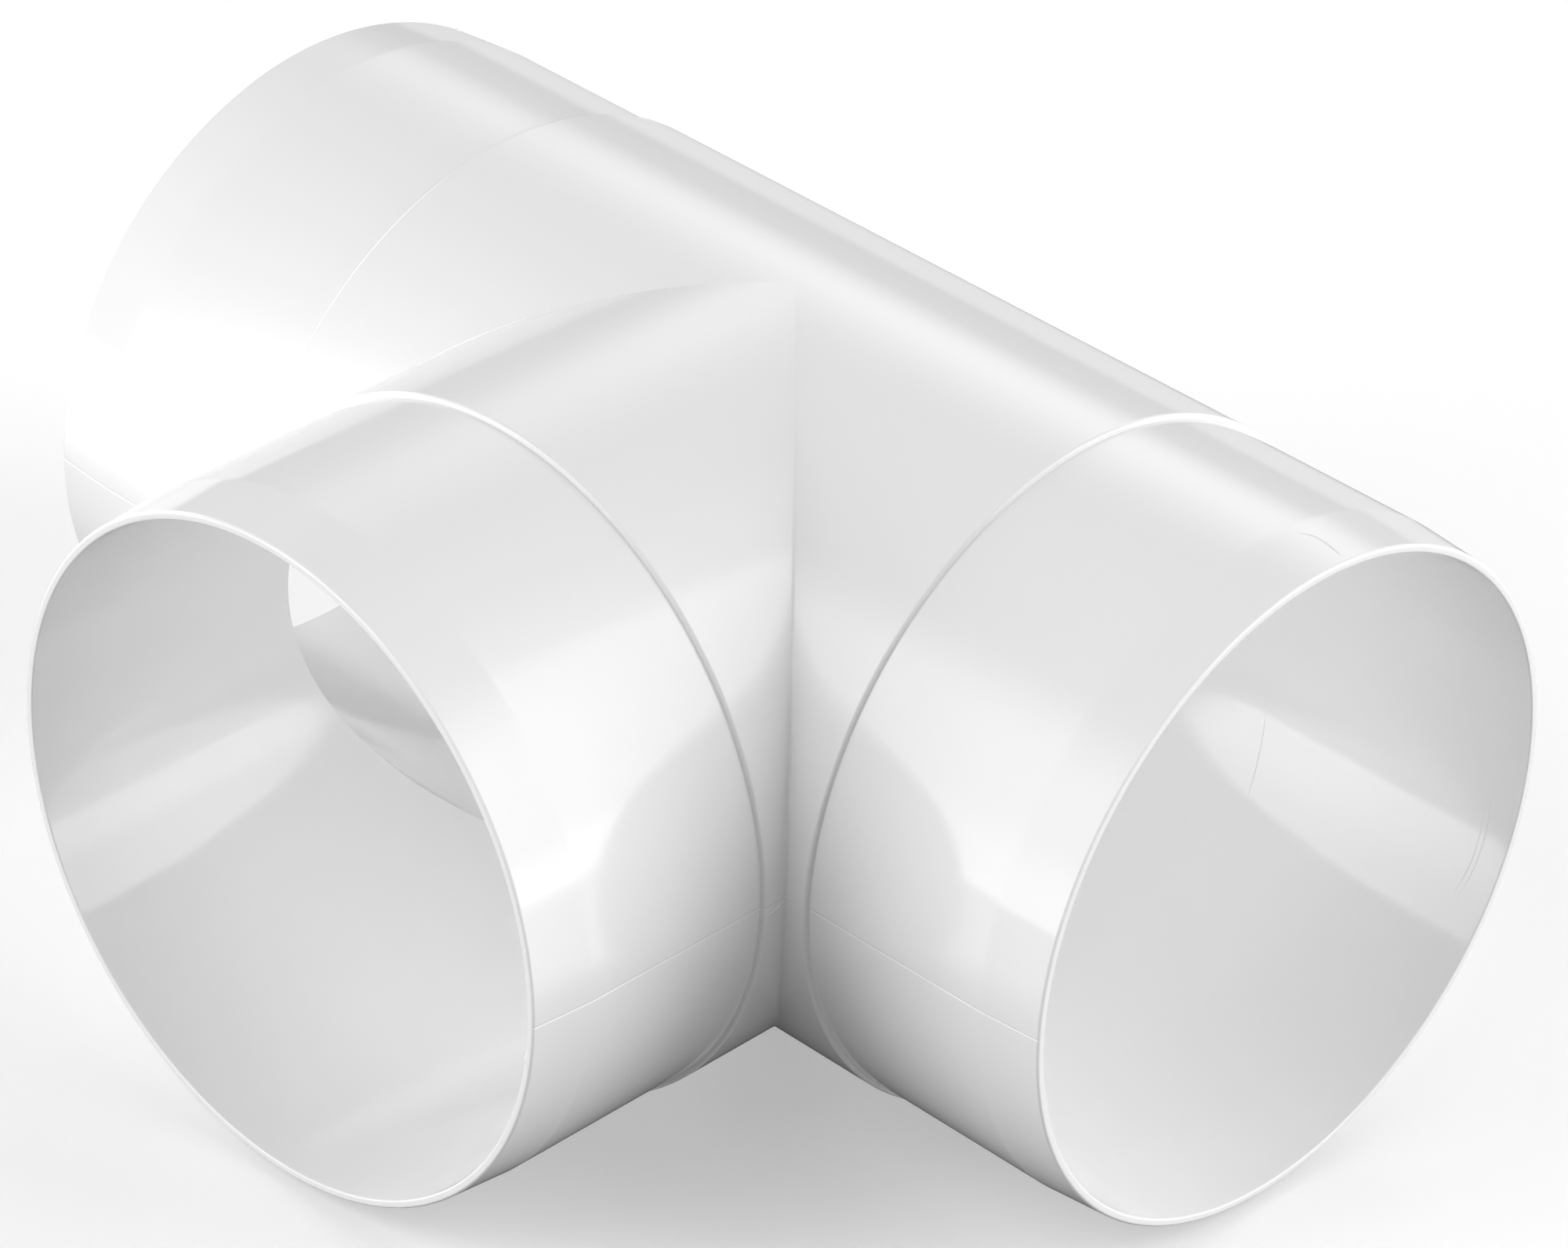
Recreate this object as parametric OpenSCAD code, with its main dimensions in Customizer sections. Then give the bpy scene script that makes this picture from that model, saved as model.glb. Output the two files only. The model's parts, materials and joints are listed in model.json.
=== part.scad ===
// Equal tee for round ventilation duct of 100 mm bore, moulded in one piece.
//
// The run lies along X and the branch leaves it towards -Y. The origin is
// where the three axes cross. Each arm ends in a spigot that a round duct
// slides over until it meets the shoulder of the body.

/* [Spigots] */
// Outside diameter of each spigot, which the duct slides over
spigot_d = 99.5; // [78:0.5:200]
// Length of each spigot, from its shoulder to its rim
spigot_length = 39.8; // [26:0.1:90]
// Wall of each spigot at its rim, the thinnest place
rim_wall = 1.15; // [0.8:0.05:4]

/* [Body] */
// Height of the shoulder that stops the duct
shoulder_height = 0.75; // [0.4:0.05:3]
// Straight body between the side of the crossing arm and each shoulder
collar_length = 3.7; // [2:0.1:40]

/* [Lead-in taper] */
// Length of the taper that guides the duct on to the spigot
lead_length = 10; // [4:0.5:18]
// How far the taper drops from the spigot's surface to the rim
lead_drop = 0.75; // [0.2:0.05:2]

/* [Edges] */
// Rounding of the outer edge of each rim
rim_edge_r = 0.4; // [0.1:0.05:0.6]
// Rounding of the inner edge of each rim
mouth_edge_r = 0.2; // [0.05:0.05:0.4]
// Rounding of the edge of each shoulder
shoulder_edge_r = 0.4; // [0.1:0.05:0.6]
// Radius of the fillet in the corner at the foot of each shoulder
shoulder_foot_r = 0.2; // [0.05:0.05:0.3]
// Radius of the fillet in the creases between the branch and the run
crease_r = 0.5; // [0.3:0.1:3]

/* [Hidden] */

$fn = 180;

// Straight steps that an edge of 90 degrees is rounded in
edge_steps = 6;

// The crease fillet's rings, in degrees from the middle of the crease. Past
// its end the fillet is thinner than the depth that its edges are sunk.
crease_end = 69;
crease_step = 3;

// Facets across the crease fillet
crease_sides = 3;

// How deep the crease fillet's edges are sunk in the arms
crease_sink = 0.04;

spigot_r = spigot_d / 2;
body_r = spigot_r + shoulder_height;
rim_r = spigot_r - lead_drop;
bore_r = rim_r - rim_wall;
body_wall = body_r - bore_r;

// Places along an arm, measured from where the axes cross
shoulder_at = body_r + collar_length;
rim_at = shoulder_at + spigot_length;
lead_at = rim_at - lead_length;

lead_angle = atan(lead_drop / lead_length);

// A rounding stops short of the whole wall or step that it is cut in
rim_edge = min(rim_edge_r, rim_wall * 0.6);
mouth_edge = min(mouth_edge_r, rim_wall * 0.3);
shoulder_edge = min(shoulder_edge_r, shoulder_height * 0.6);
shoulder_foot = min(shoulder_foot_r, shoulder_height * 0.35);
crease = min(crease_r, (collar_length - shoulder_edge) * 0.8);

// How deep the crease fillet is rooted in the wall under the crease
crease_root = body_wall * 0.45;

// How far a cutting body runs past a rim
clear = 2;

// Points of an arc about [x, y] from angle a to angle b
function arc(x, y, r, a, b) = [
    for (i = [0 : edge_steps])
        let (t = a + (b - a) * i / edge_steps)
            [x + r * cos(t), y + r * sin(t)]
];

// Where the outer edge of a rim is struck from, so that it meets the taper
// and the flat end without a corner
rim_centre_y = rim_at - rim_edge;
rim_centre_x = rim_r + rim_edge * tan(lead_angle) - rim_edge / cos(lead_angle);

// Outline of one arm from the crossing to the rim, as [radius, distance]
function arm_outline() = concat(
    arc(body_r - shoulder_edge, shoulder_at - shoulder_edge, shoulder_edge, 0, 90),
    arc(spigot_r + shoulder_foot, shoulder_at + shoulder_foot, shoulder_foot, 270, 180),
    [[spigot_r, lead_at]],
    arc(rim_centre_x, rim_centre_y, rim_edge, lead_angle, 90)
);

// Solid arm along +Z, with its shoulder, taper and rounded rim
module arm() {
    rotate_extrude()
        polygon(concat([[0, 0], [body_r, 0]], arm_outline(), [[0, rim_at]]));
}

// Both arms of the run in one turned form, so that its side has no seam
module run() {
    near = arm_outline();
    far = [for (i = [len(near) - 1 : -1 : 0]) [near[i][0], -near[i][1]]];
    rotate([0, 90, 0])
        rotate_extrude()
            polygon(concat([[0, -rim_at]], far, near, [[0, rim_at]]));
}

// A ball that rolls along the crease, touching the run and the branch, leaves
// the fillet behind it. At angle t above the middle of the crease the ball's
// centre lies in the mitre plane, at the arms' radius plus its own.

// Direction from the ball's centre, turned evenly from the side that touches
// the run (u = 0) to the side that touches the branch (u = 1)
function ball_side(t, u) =
    let (
        run_side = [0, cos(t), -sin(t)],
        branch_side = [-cos(t), 0, -sin(t)],
        turn = acos(run_side * branch_side)
    )
        (run_side * sin(turn * (1 - u)) + branch_side * sin(turn * u)) / sin(turn);

// One ring of the fillet: its sunk edge on the run, its skin, its sunk edge on
// the branch, and its root
function crease_ring(t) =
    let (
        mitre = [cos(t), -cos(t), sin(t)],
        centre = mitre * (body_r + crease) / cos(crease_step / 2),
        touch = body_r + crease,
        sunk = body_r - crease_sink
    )
        concat(
            [[touch * cos(t), -sunk * cos(t), sunk * sin(t)]],
            [for (i = [1 : crease_sides - 1]) centre + crease * ball_side(t, i / crease_sides)],
            [[sunk * cos(t), -touch * cos(t), sunk * sin(t)]],
            [(body_r - crease_root) * mitre]
        );

// Fillet in the crease between the branch and the +X arm
module crease_fillet() {
    rings = [for (t = [-crease_end : crease_step : crease_end]) crease_ring(t)];
    n = len(rings[0]);
    last = (len(rings) - 1) * n;
    skin = [
        for (i = [0 : len(rings) - 2], j = [0 : n - 1], half = [0, 1])
            let (a = i * n + j, b = i * n + (j + 1) % n)
                half == 0 ? [a, b, b + n] : [a, b + n, a + n]
    ];
    ends = [
        for (j = [1 : n - 2], top = [0, 1])
            top == 0 ? [0, j + 1, j] : [last, last + j, last + j + 1]
    ];
    polyhedron([for (ring = rings) each ring], concat(skin, ends));
}

// Widening of a bore to its rounded mouth, along +Z
module mouth() {
    edge = arc(bore_r + mouth_edge, rim_at - mouth_edge, mouth_edge, 180, 90);
    rotate_extrude()
        polygon(concat(
            [[0, rim_at - mouth_edge - clear], [bore_r, rim_at - mouth_edge - clear]],
            edge,
            [[bore_r + mouth_edge, rim_at + clear], [0, rim_at + clear]]
        ));
}

// Turns a form that stands along +Z towards +X, -X or -Y
module to_arm(way) {
    if (way == "right")
        rotate([0, 90, 0]) children();
    if (way == "left")
        rotate([0, -90, 0]) children();
    if (way == "branch")
        rotate([90, 0, 0]) children();
}

// The two bores and their rounded mouths
module air_path() {
    to_arm("left")
        cylinder(r = bore_r, h = 2 * (rim_at + clear), center = true);
    to_arm("branch")
        cylinder(r = bore_r, h = rim_at + clear);
    for (way = ["right", "left", "branch"])
        to_arm(way) mouth();
}

module duct_tee() {
    color("white")
        difference() {
            union() {
                run();
                to_arm("branch") arm();
                crease_fillet();
                mirror([1, 0, 0]) crease_fillet();
            }
            air_path();
        }
}

duct_tee();
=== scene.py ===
"""Looks of an equal duct tee, moulded in one piece of glossy white plastic, with the studio that it stands in."""

import json
import math

import bmesh
import bpy
import numpy as np
from bpy.props import FloatProperty, IntProperty, PointerProperty, StringProperty
from bpy.types import Operator, Panel, PropertyGroup
from mathutils import Matrix, Vector


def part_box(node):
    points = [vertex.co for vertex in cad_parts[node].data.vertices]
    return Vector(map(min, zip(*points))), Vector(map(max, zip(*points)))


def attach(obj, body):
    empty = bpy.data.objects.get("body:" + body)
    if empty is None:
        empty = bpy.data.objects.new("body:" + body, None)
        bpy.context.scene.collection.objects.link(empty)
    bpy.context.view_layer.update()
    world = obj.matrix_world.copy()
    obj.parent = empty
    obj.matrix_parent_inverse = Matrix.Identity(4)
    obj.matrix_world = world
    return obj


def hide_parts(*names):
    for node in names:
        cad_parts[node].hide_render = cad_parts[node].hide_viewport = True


bl_info = {
    "name": "Duct tee",
    "version": (1, 0, 0),
    "blender": (4, 5, 0),
    "location": "View3D > Sidebar > Duct tee",
    "description": "Builds a moulded duct tee and a small studio around it",
    "category": "Add Mesh",
}

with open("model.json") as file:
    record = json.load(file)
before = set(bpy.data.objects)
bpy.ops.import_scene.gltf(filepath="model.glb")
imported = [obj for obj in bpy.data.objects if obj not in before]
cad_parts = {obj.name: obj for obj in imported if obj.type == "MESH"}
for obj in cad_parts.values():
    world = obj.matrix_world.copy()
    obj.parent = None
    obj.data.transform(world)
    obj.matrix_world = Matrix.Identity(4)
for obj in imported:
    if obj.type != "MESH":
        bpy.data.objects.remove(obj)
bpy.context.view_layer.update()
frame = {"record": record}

NODE = "duct_tee"
MM = 0.001

# Half the run, half the body's height, and the radii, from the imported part
MOUNTS = {mount["name"]: mount for mount in frame["record"]["mounts"]}
RIM_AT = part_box(NODE)[1].x
BODY_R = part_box(NODE)[1].z
SPIGOT_R = MOUNTS["spigot_right"]["dims"]["r_mm"] * MM
BORE_R = MOUNTS["run_bore"]["dims"]["r_mm"] * MM

# Each arm's direction from the crossing, and the direction from which angles round it are measured, towards +Z
X, Y, UP = np.eye(3)
ARMS = {"right": (X, Y), "left": (-X, Y), "branch": (-Y, X)}


def linear(hex_colour):
    """Linear red, green, blue and alpha of an sRGB colour such as #F2F2F0."""
    parts = [int(hex_colour[i : i + 2], 16) / 255 for i in (1, 3, 5)]
    return [c / 12.92 if c <= 0.04045 else ((c + 0.055) / 1.055) ** 2.4 for c in parts] + [1.0]


def length(name, description, default):
    """A length in metres, which the sidebar shows in the scene's unit."""
    return FloatProperty(name=name, description=description, default=default, unit="LENGTH", precision=5)


def colour(name, description, default):
    """An sRGB colour such as #F2F2F0."""
    return StringProperty(name=name, description=description, default=default)


class TeeSizes(PropertyGroup):
    """Sizes of the moulding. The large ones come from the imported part."""

    body_r: length("Body radius", "Outside radius of the body", BODY_R)
    spigot_r: length("Spigot radius", "Outside radius of each spigot", SPIGOT_R)
    bore_r: length("Bore radius", "Inside radius of each arm", BORE_R)
    rim_at: length("Rim", "Distance of each rim from where the axes cross", RIM_AT)
    spigot_length: length("Spigot length", "From the shoulder to the rim", 39.8 * MM)
    lead_length: length("Lead-in length", "Length of the taper at the end of each spigot", 10 * MM)
    lead_drop: length("Lead-in drop", "How far the taper drops to the rim", 0.75 * MM)
    rim_edge: length("Rim edge", "Rounding of each rim's outer edge", 0.4 * MM)
    mouth_edge: length("Mouth edge", "Rounding of each rim's inner edge", 0.2 * MM)
    shoulder_edge: length("Shoulder edge", "Rounding of each shoulder's edge", 0.4 * MM)
    shoulder_foot: length("Shoulder foot", "Fillet at the foot of each shoulder", 0.2 * MM)
    crease: length("Crease fillet", "Radius of the fillet between the branch and the run", 0.5 * MM)
    bore_edge: length("Bore edge", "Rounding of the edge where the bores meet", 0.3 * MM)
    parting_depth: length("Parting depth", "Depth of the line that the mould's halves leave", 0.06 * MM)
    parting_width: length("Parting width", "Width of that line", 0.26 * MM)
    around: IntProperty(name="Steps around", description="Steps around half an arm", default=150, min=24, max=180)


class TeeFinish(PropertyGroup):
    """Colour and surface of the plastic."""

    plastic: colour("Plastic", "sRGB colour of the plastic", "#F7F7F7")
    roughness: FloatProperty(
        name="Roughness", description="Roughness of the surface", default=0.09, min=0, max=1, subtype="FACTOR"
    )
    wave: length("Wave", "Height of the slow waves in the cooled surface", 0.03 * MM)
    wave_size: length("Wave size", "Distance between those waves", 22 * MM)


class StudioSizes(PropertyGroup):
    """Camera and light, as the photograph has them."""

    azimuth: FloatProperty(name="Azimuth", description="Camera's turn round the tee, in degrees", default=43.369)
    elevation: FloatProperty(name="Elevation", description="Camera's height, in degrees", default=32.872)
    roll: FloatProperty(name="Roll", description="Camera's turn about its own view, in degrees", default=2.396)
    distance: length("Distance", "Camera's distance from where the axes cross", 988.86 * MM)
    lens: FloatProperty(name="Lens", description="Focal length on a 36 mm wide sensor", default=165.0, unit="CAMERA")
    aim_right: length("Aim right", "Where the camera aims, right of where the axes cross", 0.51 * MM)
    aim_up: length("Aim up", "Where the camera aims, above where the axes cross", -3.43 * MM)
    floor: colour("Floor", "sRGB colour of the floor", "#F4F4F4")
    glow: FloatProperty(name="Glow", description="Brightness of the light under the floor's paper", default=0.25)
    ambient: FloatProperty(name="Room", description="Brightness of the room above the horizon", default=0.26)
    wall: FloatProperty(name="Wall", description="Brightness of the wall low behind the left softbox", default=1.5)
    table: FloatProperty(name="Table", description="Brightness of the table's far parts", default=0.7)
    left: FloatProperty(name="Table left", description="Brightness of its left part, on top of that", default=1.6)
    right: FloatProperty(name="Table right", description="Brightness of its right part, on top of that", default=2.0)


def arc(r, s, radius, start, end, steps):
    """Profile points of an arc about (r, s), from one angle to another in even steps, in degrees.

    A point is the centre plus the radius times (cos a, sin a).
    """
    a = np.radians(np.linspace(start, end, steps + 1))
    return np.column_stack((r + radius * np.cos(a), s + radius * np.sin(a)))


def half_turn(steps, parting_width, radius):
    """Angles from -90 to 90 degrees, evenly spaced, with a few more close to 0, where the parting line runs."""
    even = np.linspace(-90.0, 90.0, steps + 1)
    half = math.degrees(parting_width / 2 / radius)
    close = half * np.array([-2.2, -1.0, -0.35, 0.35, 1.0, 2.2])
    return np.radians(np.sort(np.concatenate((even[(np.abs(even) > 3 * half) | (np.abs(even) < 1e-6)], close))))


def groove(z, off):
    """Depth of the parting line at a distance off its middle: whole over a third of its width, then falling evenly."""
    return z.parting_depth * np.clip((1 - np.abs(off) / (z.parting_width / 2)) / 0.6, 0, 1)


def arm_profile(z):
    """Outline of an arm from its shoulder over the rim and back into the bore, as rows of [radius, distance].

    It is made of arcs and straight lines. A straight line has an extra point close to each end, so that smooth
    shading stays flat along it.
    """
    near = 0.12 * MM
    shoulder_at = z.rim_at - z.spigot_length
    lead_at = z.rim_at - z.lead_length
    slope = math.atan2(z.lead_drop, z.lead_length)
    rim_r = z.spigot_r - z.lead_drop
    edge_r = rim_r + z.rim_edge * math.tan(slope) - z.rim_edge / math.cos(slope)
    edge = arc(edge_r, z.rim_at - z.rim_edge, z.rim_edge, math.degrees(slope), 90, 7)
    s = np.concatenate(([near], np.linspace(0.6 * MM, lead_at - shoulder_at - 0.9 * MM, 9)))
    spigot = np.column_stack((np.full(len(s), z.spigot_r), shoulder_at + z.shoulder_foot + s))
    bend_r = 9 * MM
    bend = arc(z.spigot_r - bend_r, lead_at, bend_r, -2.0, math.degrees(slope) + 2.0, 4)
    bend[:, 0] -= bend[0, 0] - z.spigot_r
    k = np.array([0.06, 0.25, 0.5, 0.75, 0.94, 0.985])[:, None]
    taper = bend[-1] + (edge[0] - bend[-1]) * k
    mouth_r = z.bore_r + z.mouth_edge
    face = np.column_stack(([edge_r - near, (edge_r + mouth_r) / 2, mouth_r + near], np.full(3, z.rim_at)))
    inner = z.rim_at - z.mouth_edge - np.array([0.12, 1.0, 4.0, 10.0, 18.0, 27.0, 35.0, 41.0]) * MM
    return np.concatenate((
        arc(z.body_r - z.shoulder_edge, shoulder_at - z.shoulder_edge, z.shoulder_edge, 0, 90, 7),
        arc(z.spigot_r + z.shoulder_foot, shoulder_at + z.shoulder_foot, z.shoulder_foot, 270, 180, 4),
        spigot,
        bend,
        taper,
        edge,
        face,
        arc(mouth_r, z.rim_at - z.mouth_edge, z.mouth_edge, 90, 180, 5),
        np.column_stack((np.full(len(inner), z.bore_r), inner)),
    ))


def arm_grid(z, half, profile, along, side, open_back):
    """Points of one arm on a closed grid: rows from the crease over the rim to the bores' meeting, columns around.

    A point is distance * along + radius * (cos a * side + sin a * up). The rows outside start on the line
    (body radius + crease radius) * |cos a|, where the fillet's ball touches this arm, and the rows inside end on
    the same line of the bores. On the run's back half both run through to the middle instead.
    """
    a = np.concatenate((half, math.pi - half[-2:0:-1]))
    meets = np.abs(np.cos(a)) * (np.ones_like(a) if open_back else (np.cos(a) < 1e-9))
    meets[np.abs(np.cos(a)) < 1e-9] = 0.0
    first, last = (z.body_r + z.crease) * meets, (z.bore_r + z.bore_edge) * meets
    k = np.array([0, 0.004, 0.02, 0.06, 0.14, 0.26, 0.4, 0.55, 0.7, 0.83, 0.93, 0.98, 0.995])[:, None]
    body_s = first + (profile[0, 1] - first) * k
    bore_s = profile[-1, 1] + (last - profile[-1, 1]) * (1 - k[::-1])[1:]
    width = len(a)
    s = np.concatenate((body_s, np.tile(profile[:, 1:], width), bore_s))
    r = np.concatenate((np.full_like(body_s, z.body_r), np.tile(profile[:, :1], width), np.full_like(bore_s, z.bore_r)))
    outside = np.arange(len(r)) < len(body_s) + int(np.argmax(profile[:, 1]))
    r = r - outside[:, None] * groove(z, r * np.sin(a))
    return s[..., None] * along + r[..., None] * (np.cos(a)[:, None] * side + np.sin(a)[:, None] * UP)


def crease_grid(z, half, radius, ball, sign, steps, parted):
    """Points of the strip that a ball leaves as it rolls along the crossing of two equal cylinders.

    At angle t the ball's centre is (radius + ball) * (cos t, -cos t, sin t). The strip is the centre plus the
    ball's radius times a direction that turns evenly from the run's side, (0, cos t, -sin t), to the branch's,
    (-cos t, 0, -sin t).
    """
    t, u = half[:, None, None], np.linspace(0, 1, steps + 1)[None, :, None]
    cos, sin = np.cos(t), np.sin(t)
    cos = np.where(np.abs(cos) < 1e-9, 0.0, cos)
    centre = (radius + ball) * np.concatenate((cos, -cos, sin), -1)
    run_side = np.concatenate((0 * cos, cos, -sin), -1)
    branch_side = np.concatenate((-cos, 0 * cos, -sin), -1)
    turn = np.arccos(np.clip(sin * sin, -1, 1))
    apart = np.where(turn < 1e-6, 1.0, np.sin(turn))
    way = (run_side * np.sin(turn * (1 - u)) + branch_side * np.sin(turn * u)) / apart
    points = centre + ball * np.where(turn < 1e-6, run_side, way)
    if parted:
        points = points - groove(z, points[..., 2:]) * np.array([0.7, -0.7, 0.0])
    return points * np.array([sign, 1.0, 1.0])


def bead_grid(arm, s, a, r, width, height, inside, columns=8):
    """Points of a low bead on an arm: an ellipse carried along a path of distances s, angles a and radii r.

    The ellipse is centred on the path, with its width across the path along the surface and its height out of it.
    Both shrink towards the path's ends by the square root of 1 - (2k - 1)^2, with k from 0 to 1 along the path.
    """
    along, side = ARMS[arm]
    away = np.cos(a)[:, None] * side + np.sin(a)[:, None] * UP
    path = s[:, None] * along + r[:, None] * away
    out = -away if inside else away
    across = np.cross(np.gradient(path, axis=0), out)
    across /= np.linalg.norm(across, axis=1, keepdims=True)
    swell = np.sqrt(np.clip(1 - np.linspace(-1, 1, len(s)) ** 2, 0, 1))[:, None, None]
    u = np.linspace(0, 2 * math.pi, columns, endpoint=False)[None, :, None]
    return path[:, None] + swell * (width / 2 * np.cos(u) * across[:, None] + height * np.sin(u) * out[:, None])


def grid_quads(rows, columns, closed, start):
    """Corner numbers of a grid's quads, row after row, with the last column joined to the first if it is closed."""
    r = np.arange(rows - 1)[:, None] * columns
    c = np.arange(columns if closed else columns - 1)[None, :]
    n = (c + 1) % columns
    return start + np.stack((r + c, r + n, r + columns + n, r + columns + c), -1).reshape(-1, 4)


def new_mesh_object(name, grids):
    """An object at the origin made of point grids, each with whether its columns close.

    Doubles are merged, which closes seams and poles, and faces are turned outwards.
    """
    points, quads, start = [], [], 0
    for grid, closed in grids:
        rows, columns = grid.shape[:2]
        points.append(grid.reshape(-1, 3))
        quads.append(grid_quads(rows, columns, closed, start))
        start += rows * columns
    points, quads = np.concatenate(points), np.concatenate(quads)
    mesh = bpy.data.meshes.new(name)
    mesh.vertices.add(len(points))
    mesh.vertices.foreach_set("co", np.ascontiguousarray(points, np.float32).ravel())
    mesh.loops.add(quads.size)
    mesh.loops.foreach_set("vertex_index", np.ascontiguousarray(quads, np.int32).ravel())
    mesh.polygons.add(len(quads))
    mesh.polygons.foreach_set("loop_start", np.arange(0, quads.size, 4, dtype=np.int32))
    mesh.update(calc_edges=True)
    work = bmesh.new()
    work.from_mesh(mesh)
    bmesh.ops.remove_doubles(work, verts=work.verts, dist=1e-6)
    bmesh.ops.recalc_face_normals(work, faces=work.faces)
    work.to_mesh(mesh)
    work.free()
    mesh.validate()
    mesh.shade_smooth()
    thing = bpy.data.objects.new(name, mesh)
    bpy.context.scene.collection.objects.link(thing)
    return thing


def moulding_grids(z):
    """Grids of the whole moulding: three arms, two crease fillets outside and two rounded edges inside."""
    half = half_turn(z.around, z.parting_width, z.body_r)
    profile = arm_profile(z)
    grids = [(arm_grid(z, half, profile, *ARMS[arm], arm == "branch"), True) for arm in ARMS]
    for sign in (1.0, -1.0):
        grids.append((crease_grid(z, half, z.body_r, z.crease, sign, 8, True), False))
        grids.append((crease_grid(z, half, z.bore_r, z.bore_edge, sign, 4, False), False))
    return grids


def mark_grids(z):
    """Grids of the small marks that moulding, trimming and handling leave. Each is a low bead half sunk in the wall."""
    k = np.linspace(0, 1, 33)
    same = np.ones_like(k)
    grids = []

    # A curl of plastic scraped up on the right spigot: a bow over its top, steeper before its crest than after it
    s = (85.9 + 6.9 * k) * MM
    crest = 88.3 * MM
    r = z.spigot_r - z.lead_drop * (s - z.rim_at + z.lead_length) / z.lead_length
    off_top = 5.55 * MM - np.where(s < crest, 260.0, 35.0) * (s - crest) ** 2
    grids.append(bead_grid("right", s, np.arccos(off_top / r), r, 0.32 * MM, 0.12 * MM, False))

    # A flake of flash where the parting line runs into the crease
    s = (53.6 - 2.6 * k) * MM
    grids.append(bead_grid("branch", s, np.radians(0.9 * k - 1.6), z.body_r * same, 0.7 * MM, 0.14 * MM, False))

    # A crumb left by the trimming knife on the left arm's rim
    s = (z.rim_at - 0.35 * MM) * same
    r = z.spigot_r - z.lead_drop + 0 * k
    grids.append(bead_grid("left", s, np.radians(56.8 + 1.3 * k), r, 0.6 * MM, 0.22 * MM, False))

    # The fine line that the core's end leaves in the right bore, and two scratches beside its mouth
    s = (50.1 + 2.6 * k - 0.5 * k * k) * MM
    grids.append(bead_grid("right", s, np.radians(-17.5 - 15 * k), z.bore_r * same, 0.2 * MM, 0.04 * MM, True))
    for first, start, sweep in ((89.0, -11.0, -20.0), (88.2, -13.0, -17.0)):
        s = (first + 3.6 * k * (1 - k)) * MM
        a = np.radians(start + sweep * k)
        grids.append(bead_grid("right", s, a, z.bore_r * same, 0.16 * MM, 0.03 * MM, True))

    # The knife's edge round the branch's mouth, which starts in a nick
    s = (z.rim_at - 0.3 * MM) * same
    grids.append(bead_grid("branch", s, np.radians(-6 + 66 * k), z.bore_r * same, 0.3 * MM, 0.1 * MM, True))
    grids.append(bead_grid("branch", s, np.radians(-7.4 + 1.6 * k), z.bore_r * same, 0.55 * MM, 0.3 * MM, True))
    return [(grid, True) for grid in grids]


def add_node(tree, kind, settings=None, links=None):
    """Adds one node, sets its properties and unlinked inputs, and links the rest from other nodes' outputs."""
    node = tree.nodes.new(kind)
    for key, value in (settings or {}).items():
        if key in node.inputs:
            node.inputs[key].default_value = value
        else:
            setattr(node, key, value)
    for key, source in (links or {}).items():
        tree.links.new(source, node.inputs[key])
    return node


def new_material(name):
    """A material with an empty node tree."""
    material = bpy.data.materials.new(name)
    material.use_nodes = True
    material.node_tree.nodes.clear()
    return material


def moulded_white_abs(finish):
    """ABS moulded in a polished steel mould: an even, dense white with a clear gloss.

    The eye sees reflections of the lamps whose edges waver, because the wall sinks and swells by hundredths of a
    millimetre as it cools, and a faint unevenness of the gloss where it was handled.
    """
    material = new_material("moulded_white_abs")
    tree = material.node_tree
    place = add_node(tree, "ShaderNodeTexCoord").outputs["Object"]
    wave = add_node(
        tree,
        "ShaderNodeTexNoise",
        {"Scale": 1 / finish.wave_size, "Detail": 1.5, "Roughness": 0.4},
        {"Vector": place},
    )
    gloss = add_node(
        tree,
        "ShaderNodeTexNoise",
        {"Scale": 1 / (9 * MM), "Detail": 3.0, "Roughness": 0.6},
        {"Vector": place},
    )
    rough = add_node(
        tree,
        "ShaderNodeMapRange",
        {"From Min": 0.3, "From Max": 0.7, "To Min": finish.roughness * 0.85, "To Max": finish.roughness * 1.2},
        {"Value": gloss.outputs["Fac"]},
    )
    bump = add_node(
        tree,
        "ShaderNodeBump",
        {"Strength": 1.0, "Distance": finish.wave},
        {"Height": wave.outputs["Fac"]},
    )
    shader = add_node(
        tree,
        "ShaderNodeBsdfPrincipled",
        {"Base Color": linear(finish.plastic), "IOR": 1.54, "Specular IOR Level": 0.38},
        {"Roughness": rough.outputs["Result"], "Normal": bump.outputs["Normal"]},
    )
    add_node(tree, "ShaderNodeOutputMaterial", None, {"Surface": shader.outputs["BSDF"]})
    return material


def backlit_paper(studio):
    """Matt white paper on a softly lit table, so that the floor stays plain and pale."""
    material = new_material("backlit_paper")
    tree = material.node_tree
    paper = linear(studio.floor)
    shader = add_node(
        tree,
        "ShaderNodeBsdfPrincipled",
        {
            "Base Color": paper,
            "Roughness": 0.9,
            "Specular IOR Level": 0.2,
            "Emission Color": paper,
            "Emission Strength": studio.glow,
        },
    )
    add_node(tree, "ShaderNodeOutputMaterial", None, {"Surface": shader.outputs["BSDF"]})
    return material


class DUCTTEE_OT_moulding(Operator):
    """Makes the moulded tee in place of the plain CAD form"""

    bl_idname = "ducttee.moulding"
    bl_label = "Make the moulding"

    def execute(self, context):
        tee = new_mesh_object("duct_tee_moulding", moulding_grids(context.scene.duct_tee_sizes))
        tee.data.materials.append(moulded_white_abs(context.scene.duct_tee_finish))
        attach(tee, "root")
        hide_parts(NODE)
        return {"FINISHED"}


class DUCTTEE_OT_marks(Operator):
    """Adds the small marks that moulding, trimming and handling leave"""

    bl_idname = "ducttee.marks"
    bl_label = "Add the marks"

    def execute(self, context):
        marks = new_mesh_object("duct_tee_marks", mark_grids(context.scene.duct_tee_sizes))
        marks.data.materials.append(bpy.data.materials["moulded_white_abs"])
        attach(marks, "root")
        return {"FINISHED"}


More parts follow.
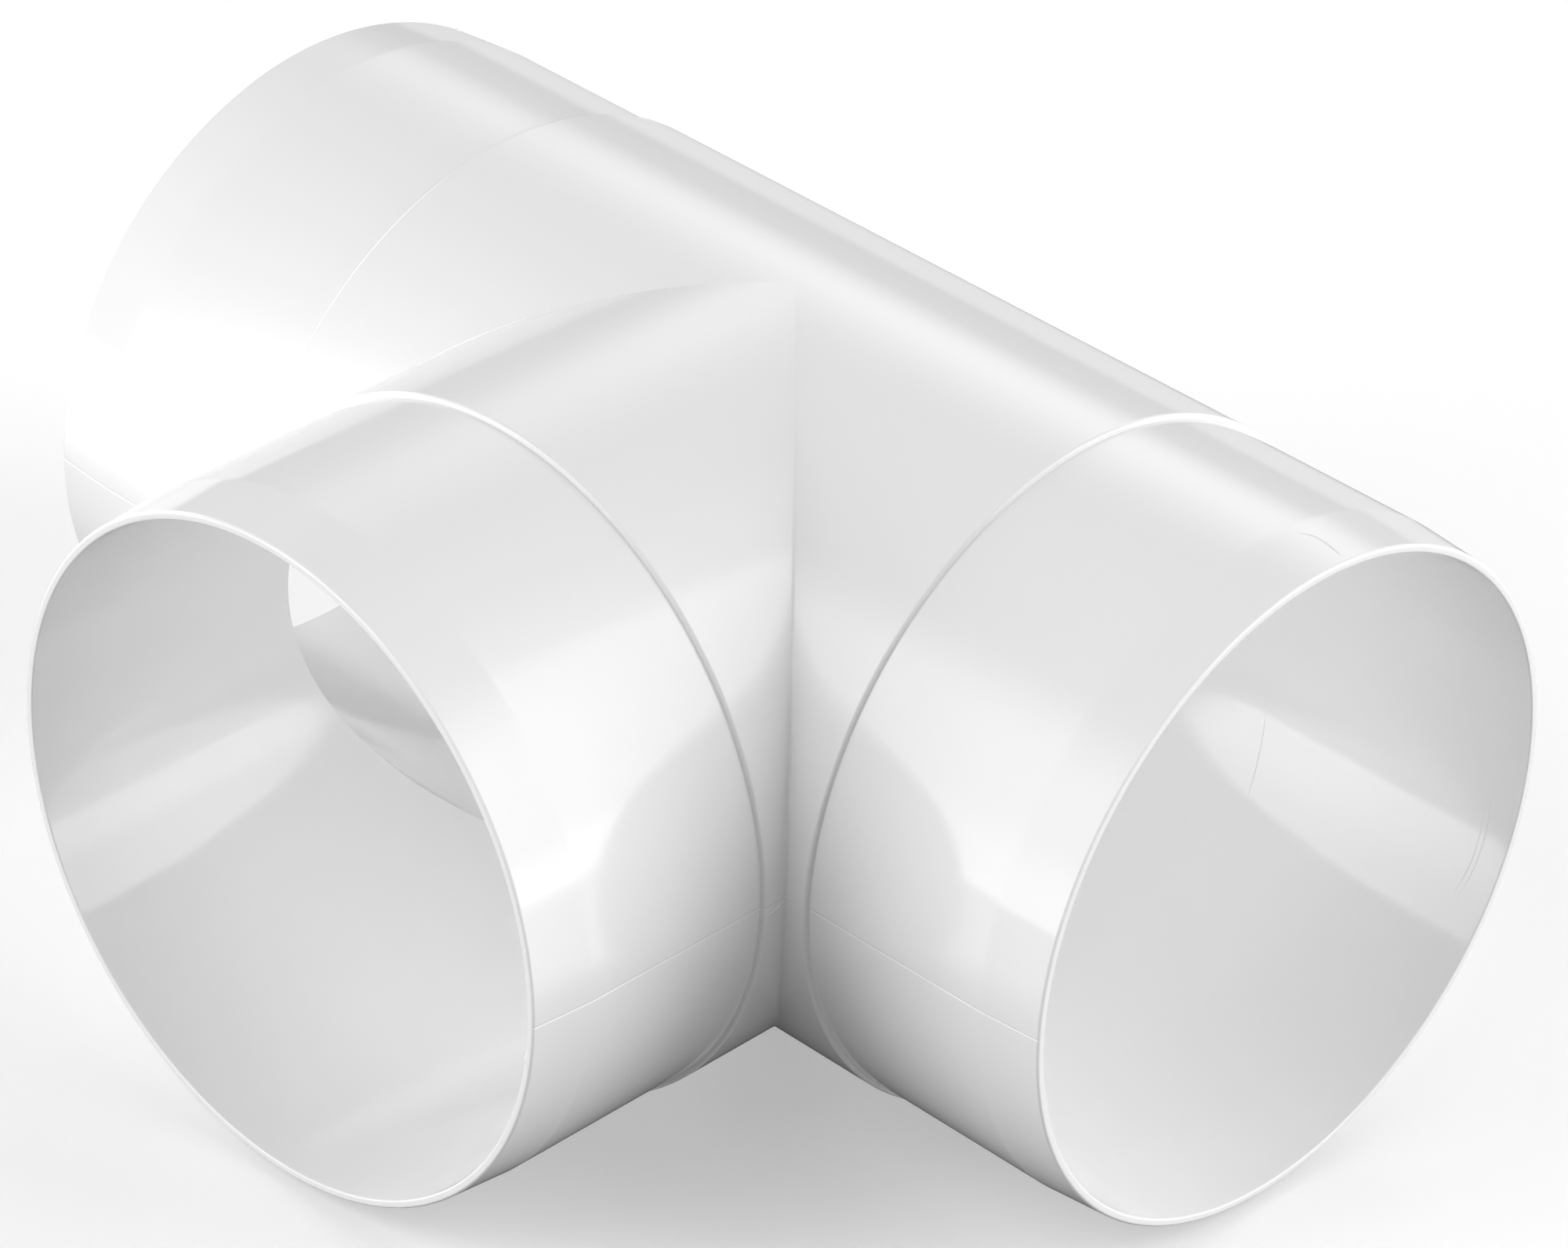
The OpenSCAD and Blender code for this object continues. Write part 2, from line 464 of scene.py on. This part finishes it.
def direction(azimuth, elevation):
    """Unit vector towards an azimuth, measured from -Y towards +X, and an elevation, both in degrees."""
    az, el = math.radians(azimuth), math.radians(elevation)
    return Vector((math.sin(az) * math.cos(el), -math.cos(az) * math.cos(el), math.sin(el)))


def softbox(name, azimuth, elevation, distance, width, height, radiance, fade):
    """A rectangular area lamp that faces the tee. Its power is its radiance times pi times its area.

    Its light falls off towards its edges over a share of its size: fade gives that share at the sides, the bottom
    and the top.
    """
    data = bpy.data.lights.new(name, "AREA")
    data.shape = "RECTANGLE"
    data.size, data.size_y = width, height
    data.energy = radiance * math.pi * width * height
    data.use_nodes = True
    tree = data.node_tree
    tree.nodes.clear()
    place = add_node(tree, "ShaderNodeNewGeometry").outputs["Parametric"]
    uv = add_node(tree, "ShaderNodeSeparateXYZ", None, {"Vector": place})
    strength = None
    for axis, start, share in (("X", 0.0, fade[0]), ("X", 1.0, fade[0]), ("Y", 0.0, fade[1]), ("Y", 1.0, fade[2])):
        ramp = {"interpolation_type": "SMOOTHSTEP", "From Min": start, "From Max": abs(start - share)}
        step = add_node(tree, "ShaderNodeMapRange", ramp, {"Value": uv.outputs[axis]}).outputs["Result"]
        if strength:
            step = add_node(tree, "ShaderNodeMath", {"operation": "MULTIPLY"}, {0: strength, 1: step}).outputs["Value"]
        strength = step
    emission = add_node(tree, "ShaderNodeEmission", None, {"Strength": strength})
    add_node(tree, "ShaderNodeOutputLight", None, {"Surface": emission.outputs["Emission"]})
    lamp = bpy.data.objects.new(name, data)
    back = direction(azimuth, elevation)
    lamp.matrix_world = Matrix.Translation(back * distance) @ back.to_track_quat("Z", "Y").to_matrix().to_4x4()
    lamp.visible_camera = False
    bpy.context.scene.collection.objects.link(lamp)
    return lamp


def lobe(tree, way, azimuth, start, end, low, high):
    """Brightness that goes smoothly from low to high as a direction turns towards an azimuth.

    Start and end are cosines of the angle between the two.
    """
    towards = add_node(tree, "ShaderNodeVectorMath", {"operation": "DOT_PRODUCT"})
    tree.links.new(way, towards.inputs[0])
    towards.inputs[1].default_value = direction(azimuth, 0)
    ramp = {"interpolation_type": "SMOOTHSTEP", "From Min": start, "From Max": end, "To Min": low, "To Max": high}
    return add_node(tree, "ShaderNodeMapRange", ramp, {"Value": towards.outputs["Value"]}).outputs["Result"]


def room(studio):
    """The white room, with the light that a bright table sends up from its far parts, just below the horizon.

    The table's light is weakest on the camera's side, has a strong part on the left and a weaker one on the right,
    and is nearly gone half way down, because the tee shades the table that it stands on. Low behind the left
    softbox the wall is bright too.
    """
    world = bpy.data.worlds.new("white_room")
    world.use_nodes = True
    tree = world.node_tree
    tree.nodes.clear()
    way = add_node(tree, "ShaderNodeTexCoord").outputs["Generated"]
    height = add_node(tree, "ShaderNodeSeparateXYZ", None, {"Vector": way}).outputs["Z"]
    table = lobe(tree, way, 50, -0.1, 0.85, studio.table, 0.0)
    for part in (lobe(tree, way, 295, 0.35, 0.95, 0.0, studio.left), lobe(tree, way, 125, 0.35, 0.95, 0.0, studio.right)):
        table = add_node(tree, "ShaderNodeMath", {"operation": "ADD"}, {0: table, 1: part}).outputs["Value"]
    band = {"interpolation_type": "SMOOTHSTEP", "From Min": -0.55, "From Max": -0.35, "To Min": 0.06, "To Max": 1.0}
    band = add_node(tree, "ShaderNodeMapRange", band, {"Value": height}).outputs["Result"]
    table = add_node(tree, "ShaderNodeMath", {"operation": "MULTIPLY"}, {0: table, 1: band}).outputs["Value"]
    band = {"interpolation_type": "SMOOTHSTEP", "From Min": 0.3, "From Max": 0.1}
    band = add_node(tree, "ShaderNodeMapRange", band, {"Value": height}).outputs["Result"]
    wall = lobe(tree, way, 355, 0.7, 0.97, 0.0, studio.wall)
    wall = add_node(tree, "ShaderNodeMath", {"operation": "MULTIPLY_ADD"}, {0: wall, 1: band})
    wall.inputs[2].default_value = studio.ambient
    horizon = {"From Min": -0.04, "From Max": 0.0}
    horizon = add_node(tree, "ShaderNodeMapRange", horizon, {"Value": height, "To Min": table, "To Max": wall.outputs["Value"]})
    shade = add_node(tree, "ShaderNodeBackground", {"Color": linear("#FFFFFF")}, {"Strength": horizon.outputs["Result"]})
    add_node(tree, "ShaderNodeOutputWorld", None, {"Surface": shade.outputs["Background"]})
    return world


def photo_camera(studio):
    """Camera at the photograph's angle: on a sphere round the axes' crossing, aimed a little off it and rolled."""
    back = direction(studio.azimuth, studio.elevation)
    right = Vector((-back.y, back.x, 0.0)).normalized()
    place = back * studio.distance
    view = (right * studio.aim_right + back.cross(right) * studio.aim_up - place).normalized()
    right = view.cross(Vector((0, 0, 1))).normalized()
    up = right.cross(view)
    roll = math.radians(studio.roll)
    right, up = right * math.cos(roll) + up * math.sin(roll), up * math.cos(roll) - right * math.sin(roll)
    data = bpy.data.cameras.new("photo_camera")
    data.sensor_width = 36.0
    data.lens = studio.lens
    data.clip_start, data.clip_end = 0.05, 20.0
    camera = bpy.data.objects.new("photo_camera", data)
    camera.matrix_world = Matrix.Translation(place) @ Matrix((right, up, -view)).transposed().to_4x4()
    bpy.context.scene.collection.objects.link(camera)
    bpy.context.scene.camera = camera


class DUCTTEE_OT_studio(Operator):
    """Makes the floor, the room's light, the softboxes and the camera"""

    bl_idname = "ducttee.studio"
    bl_label = "Make the studio"

    def execute(self, context):
        scene, studio = context.scene, context.scene.duct_tee_studio
        reach = 6.0
        side = np.array([-reach, reach])
        corners = np.stack(np.meshgrid(side, side, indexing="ij") + [np.full((2, 2), -BODY_R)], -1)
        floor = new_mesh_object("studio_floor", [(corners, False)])
        floor.data.materials.append(backlit_paper(studio))
        # The room's glow stands in for the floor's own bounce, which would fill the shade between the arms
        floor.visible_diffuse = False
        floor.visible_shadow = False
        floor.visible_glossy = False
        scene.world = room(studio)
        # Azimuth and elevation in degrees, then distance, width and height in metres, radiance and fading edges
        softbox("softbox_left", 334, 26, 1.3, 1.00, 1.58, 3.15, (0.25, 0.03, 0.40))
        softbox("softbox_right", 121, 29, 1.3, 0.80, 1.56, 3.4, (0.10, 0.03, 0.40))
        softbox("softbox_right_low", 110, 3, 1.3, 0.90, 0.40, 1.4, (0.2, 0.3, 0.3))
        softbox("softbox_right_back", 151, 30, 1.3, 0.65, 1.50, 1.3, (0.3, 0.1, 0.3))
        softbox("softbox_side", 265, 15, 1.3, 0.90, 0.70, 3.0, (0.3, 0.1, 0.3))
        softbox("softbox_back", 212, 33, 1.3, 1.30, 0.95, 2.1, (0.45, 0.40, 0.60))
        softbox("softbox_top", 8, 52, 1.3, 1.20, 0.70, 1.6, (0.4, 0.4, 0.4))
        photo_camera(studio)
        scene.view_settings.view_transform = "Standard"
        return {"FINISHED"}


class DUCTTEE_PT_panel(Panel):
    """Sizes, finish and steps of the tee"""

    bl_idname = "DUCTTEE_PT_panel"
    bl_label = "Duct tee"
    bl_space_type = "VIEW_3D"
    bl_region_type = "UI"
    bl_category = "Duct tee"

    def draw(self, context):
        for group in (context.scene.duct_tee_sizes, context.scene.duct_tee_finish, context.scene.duct_tee_studio):
            box = self.layout.box()
            for name in group.__annotations__:
                box.prop(group, name)
        for step in STEPS:
            self.layout.operator(step.bl_idname)


STEPS = (DUCTTEE_OT_moulding, DUCTTEE_OT_marks, DUCTTEE_OT_studio)
CLASSES = (TeeSizes, TeeFinish, StudioSizes, *STEPS, DUCTTEE_PT_panel)


def register():
    for cls in CLASSES:
        bpy.utils.register_class(cls)
    bpy.types.Scene.duct_tee_sizes = PointerProperty(type=TeeSizes)
    bpy.types.Scene.duct_tee_finish = PointerProperty(type=TeeFinish)
    bpy.types.Scene.duct_tee_studio = PointerProperty(type=StudioSizes)


def unregister():
    del bpy.types.Scene.duct_tee_studio
    del bpy.types.Scene.duct_tee_finish
    del bpy.types.Scene.duct_tee_sizes
    for cls in reversed(CLASSES):
        bpy.utils.unregister_class(cls)


def main():
    register()
    bpy.ops.ducttee.moulding()
    bpy.ops.ducttee.marks()
    bpy.ops.ducttee.studio()


if __name__ == "__main__":
    main()
